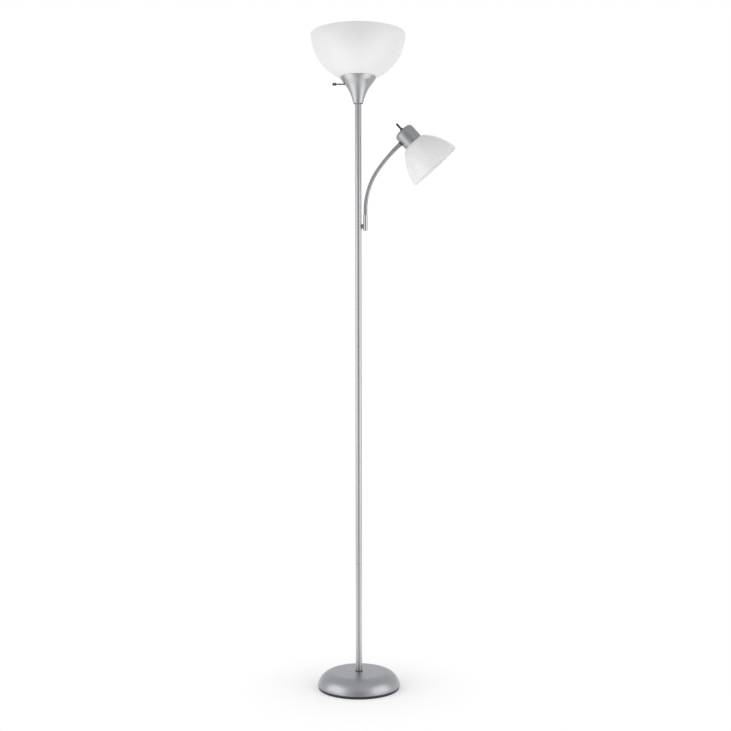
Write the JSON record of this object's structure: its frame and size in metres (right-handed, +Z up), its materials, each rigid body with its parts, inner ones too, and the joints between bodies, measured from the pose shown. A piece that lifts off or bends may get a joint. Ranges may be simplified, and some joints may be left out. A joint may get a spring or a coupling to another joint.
{
  "type": "torchiere floor lamp with reading light",
  "caption": "Torchiere floor lamp: domed weighted base, slim pole, open bowl shade on a flared cup, and a shaded reading light on a bending gooseneck arm.",
  "frame": {"origin": "on the floor, on the axis of the pole", "axes": "+Z up the pole; +X towards the reading light; -Y is the front"},
  "size_m": [0.4051, 0.2648, 1.8293],
  "materials": {
    "pad_rubber": "matt black",
    "black_plastic": "fine satin black",
    "satin_steel": "satin",
    "inner_steel": "zinc plated",
    "weight_fill": "cast, rough",
    "fibre_washer": "clear nylon",
    "lead_sheath": "translucent sheath",
    "splice_plastic": "moulded",
    "white_shade": "satin white",
    "shell_metal": "plain",
    "contact_brass": "plain",
    "bulb_glass": "frosted"
  },
  "bodies": {
    "stand": {"base_pad": "pad_rubber", "base_pan": "black_plastic", "base_cover": "satin_steel", "base_weight": "weight_fill", "base_gasket": "fibre_washer", "base_nipple": "inner_steel", "base_washer": "inner_steel", "base_nut": "inner_steel", "cord_bushing": "black_plastic", "splice_caps": "splice_plastic", "main_lead": "lead_sheath", "reading_lead": "lead_sheath", "pole_tube_lower": "satin_steel", "pole_tube_middle": "satin_steel", "pole_tube_upper": "satin_steel", "pole_foot_insert": "inner_steel", "pole_top_insert": "inner_steel", "pole_coupler_lower": "inner_steel", "pole_coupler_upper": "inner_steel", "arm_saddle": "satin_steel", "arm_stud": "inner_steel", "arm_lock_nut": "satin_steel", "arm_elbow": "satin_steel", "arm_end_cap": "satin_steel", "arm_sleeve": "satin_steel", "neck_base": "satin_steel", "flare_cup": "satin_steel", "top_nipple": "inner_steel", "top_nut": "inner_steel", "main_socket": "black_plastic", "main_shade_ring": "black_plastic", "main_screw_shell": "shell_metal", "main_contact": "contact_brass", "main_bulb_cap": "shell_metal", "main_bulb_glass": "bulb_glass", "main_shade": "white_shade"},
    "neck_1": {"neck_link_1": "satin_steel", "neck_lead": "lead_sheath"},
    "neck_2": {"neck_link_2": "satin_steel"},
    "neck_3": {"neck_link_3": "satin_steel"},
    "neck_4": {"neck_link_4": "satin_steel"},
    "neck_5": {"neck_link_5": "satin_steel"},
    "neck_6": {"neck_link_6": "satin_steel"},
    "neck_7": {"neck_link_7": "satin_steel"},
    "reading_head": {"neck_tip": "satin_steel", "neck_collar": "black_plastic", "neck_inner_nut": "inner_steel", "reading_cup": "satin_steel", "reading_socket": "black_plastic", "reading_switch_nut": "black_plastic", "reading_shade": "white_shade", "reading_shade_ring": "black_plastic", "reading_screw_shell": "shell_metal", "reading_contact": "contact_brass", "reading_bulb_cap": "shell_metal", "reading_bulb_glass": "bulb_glass"},
    "main_switch": {"main_switch_stem": "satin_steel", "main_switch_knob": "black_plastic"},
    "reading_switch": {"reading_switch_stem": "black_plastic"}
  },
  "joints": [
    {"name": "neck_pitch_1", "type": "hinge", "parent": "stand", "child": "neck_1", "pos_m": [0.02, 0, 1.3368], "axis": [0.0002, 1, 0], "range_deg": [-7, 14], "deforming": ["neck_lead"]},
    {"name": "neck_sway_1", "type": "hinge", "parent": "neck_1", "child": "neck_2", "pos_m": [0.02211, 0, 1.3658], "axis": [0.9894, 0, -0.145], "range_deg": [-12, 12]},
    {"name": "neck_pitch_2", "type": "hinge", "parent": "neck_2", "child": "neck_3", "pos_m": [0.02841, 0, 1.3942], "axis": [0.0002, 1, 0], "range_deg": [-7, 14]},
    {"name": "neck_sway_2", "type": "hinge", "parent": "neck_3", "child": "neck_4", "pos_m": [0.03876, 0, 1.42137], "axis": [0.9062, 0, -0.4229], "range_deg": [-12, 12]},
    {"name": "neck_pitch_3", "type": "hinge", "parent": "neck_4", "child": "neck_5", "pos_m": [0.05294, 0, 1.44676], "axis": [0.0002, 1, 0], "range_deg": [-7, 14]},
    {"name": "neck_sway_3", "type": "hinge", "parent": "neck_5", "child": "neck_6", "pos_m": [0.06992, 0, 1.47039], "axis": [0.7908, 0, -0.6121], "range_deg": [-12, 12]},
    {"name": "neck_pitch_4", "type": "hinge", "parent": "neck_6", "child": "neck_7", "pos_m": [0.08854, 0, 1.49276], "axis": [0.0002, 1, 0], "range_deg": [-7, 14]},
    {"name": "neck_sway_4", "type": "hinge", "parent": "neck_7", "child": "reading_head", "pos_m": [0.10853, 0, 1.51393], "axis": [0.6717, 0, -0.7408], "range_deg": [-12, 12]},
    {"name": "main_switch_turn", "type": "hinge", "parent": "stand", "child": "main_switch", "pos_m": [-0.0616, 0, 1.6895], "axis": [-1, 0, 0], "continuous": true},
    {"name": "reading_switch_turn", "type": "hinge", "parent": "reading_head", "child": "reading_switch", "pos_m": [0.12013, 0, 1.56455], "axis": [-0.6717, 0, 0.7408], "continuous": true}
  ],
  "couplings": [
    {"joint": "neck_pitch_2", "follows": "neck_pitch_1", "ratio": 1},
    {"joint": "neck_sway_2", "follows": "neck_sway_1", "ratio": 1},
    {"joint": "neck_pitch_3", "follows": "neck_pitch_1", "ratio": 1},
    {"joint": "neck_sway_3", "follows": "neck_sway_1", "ratio": 1},
    {"joint": "neck_pitch_4", "follows": "neck_pitch_1", "ratio": 1},
    {"joint": "neck_sway_4", "follows": "neck_sway_1", "ratio": 1}
  ]
}
